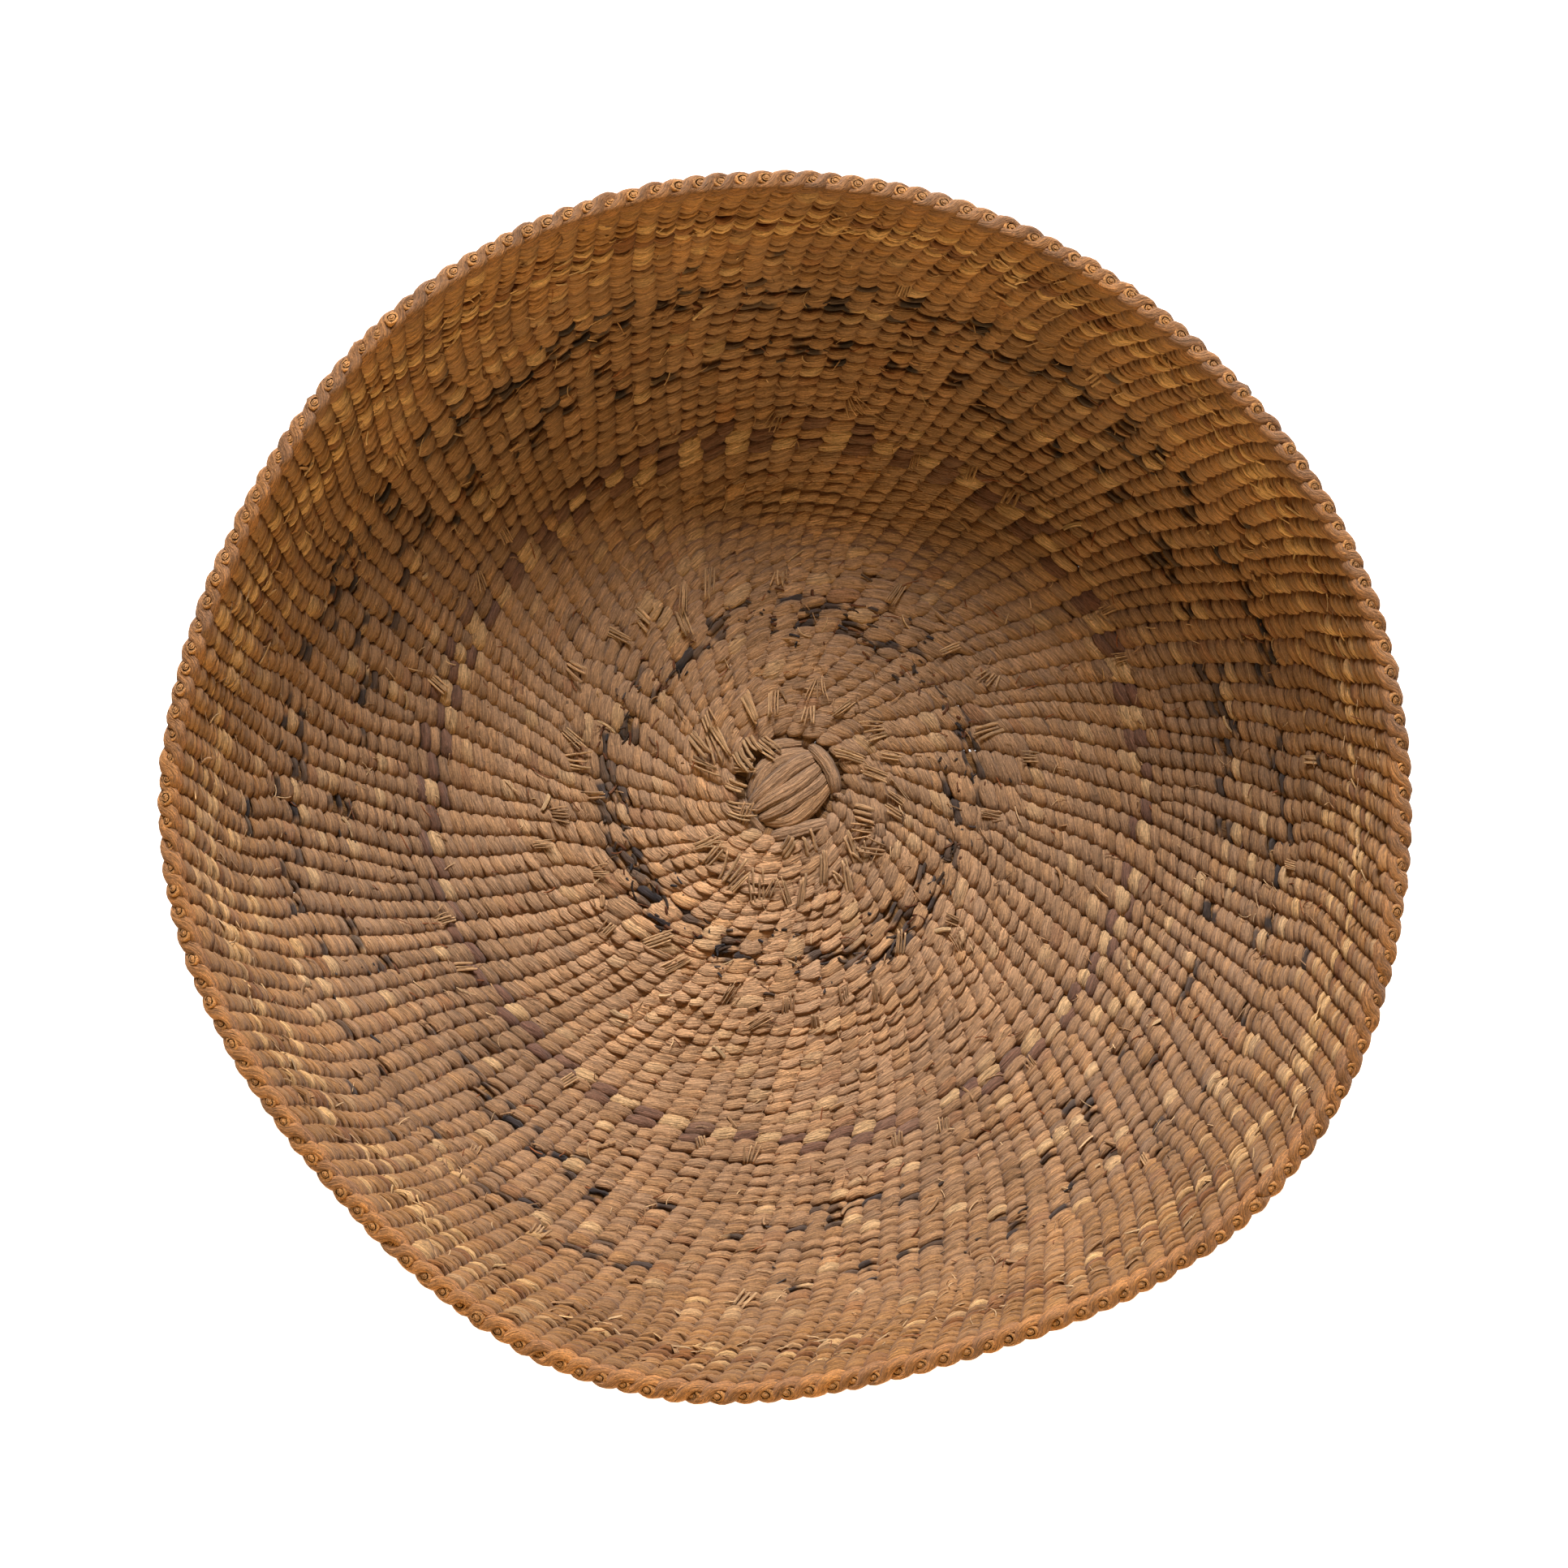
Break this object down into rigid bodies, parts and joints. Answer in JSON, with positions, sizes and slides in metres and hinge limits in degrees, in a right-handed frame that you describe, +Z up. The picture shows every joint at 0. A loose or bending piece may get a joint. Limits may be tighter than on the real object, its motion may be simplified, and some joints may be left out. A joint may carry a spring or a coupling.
{
  "type": "winnowing basket",
  "caption": "Shallow round winnowing basket, close-twined in soft plant fibre, with crossed warps at the centre, broken dark and two-tone bands and a thick twisted rim.",
  "frame": {"origin": "middle of the flat underside, where the first warps cross", "axes": "+Z up out of the bowl, +X and +Y in the plane it stands on; +Y is the top of the view from above"},
  "size_m": [0.403, 0.3963, 0.1137],
  "materials": {
    "warp_fibre": "dull, fibrous plant cord",
    "natural_weft": "matt, dusty, striated plant fibre",
    "dark_weft": "matt, dyed plant fibre",
    "two_tone_weft": "matt, dyed and light plant fibre",
    "gold_weft": "low sheen, cleaner plant fibre",
    "rim_strand": "handled, soiled plant fibre with low sheen"
  },
  "bodies": {
    "root": {"rim_strand_inner": "rim_strand", "rim_strand_outer": "rim_strand", "start_lower_lashing_1": "natural_weft", "start_lower_lashing_2": "natural_weft", "start_lower_warp_1": "warp_fibre", "start_lower_warp_2": "warp_fibre", "start_lower_warp_3": "warp_fibre", "start_lower_warp_4": "warp_fibre", "start_lower_warp_5": "warp_fibre", "start_lower_warp_6": "warp_fibre", "start_lower_warp_7": "warp_fibre", "start_upper_lashing_1": "natural_weft", "start_upper_lashing_2": "natural_weft", "start_upper_warp_1": "warp_fibre", "start_upper_warp_2": "warp_fibre", "start_upper_warp_3": "warp_fibre", "start_upper_warp_4": "warp_fibre", "start_upper_warp_5": "warp_fibre", "warp_group_01": "warp_fibre", "warp_group_02": "warp_fibre", "warp_group_03": "warp_fibre", "warp_group_04": "warp_fibre", "warp_group_05": "warp_fibre", "warp_group_06": "warp_fibre", "warp_group_07": "warp_fibre", "warp_group_08": "warp_fibre", "warp_group_09": "warp_fibre", "warp_group_10": "warp_fibre", "warp_group_11": "warp_fibre", "warp_group_12": "warp_fibre", "warp_group_13": "warp_fibre", "warp_group_14": "warp_fibre", "warp_group_15": "warp_fibre", "warp_group_16": "warp_fibre", "warp_group_17": "warp_fibre", "warp_group_18": "warp_fibre", "warp_group_19": "warp_fibre", "warp_group_20": "warp_fibre", "warp_group_21": "warp_fibre", "warp_group_22": "warp_fibre", "warp_group_23": "warp_fibre", "warp_group_24": "warp_fibre", "weft_base": "natural_weft", "weft_dark_ring": "dark_weft", "weft_gold": "gold_weft", "weft_lower_dark": "dark_weft", "weft_lower_wall": "natural_weft", "weft_middle_wall": "natural_weft", "weft_start": "natural_weft", "weft_turn": "natural_weft", "weft_two_tone": "two_tone_weft", "weft_upper_dark": "dark_weft", "weft_upper_wall": "natural_weft"}
  },
  "joints": []
}
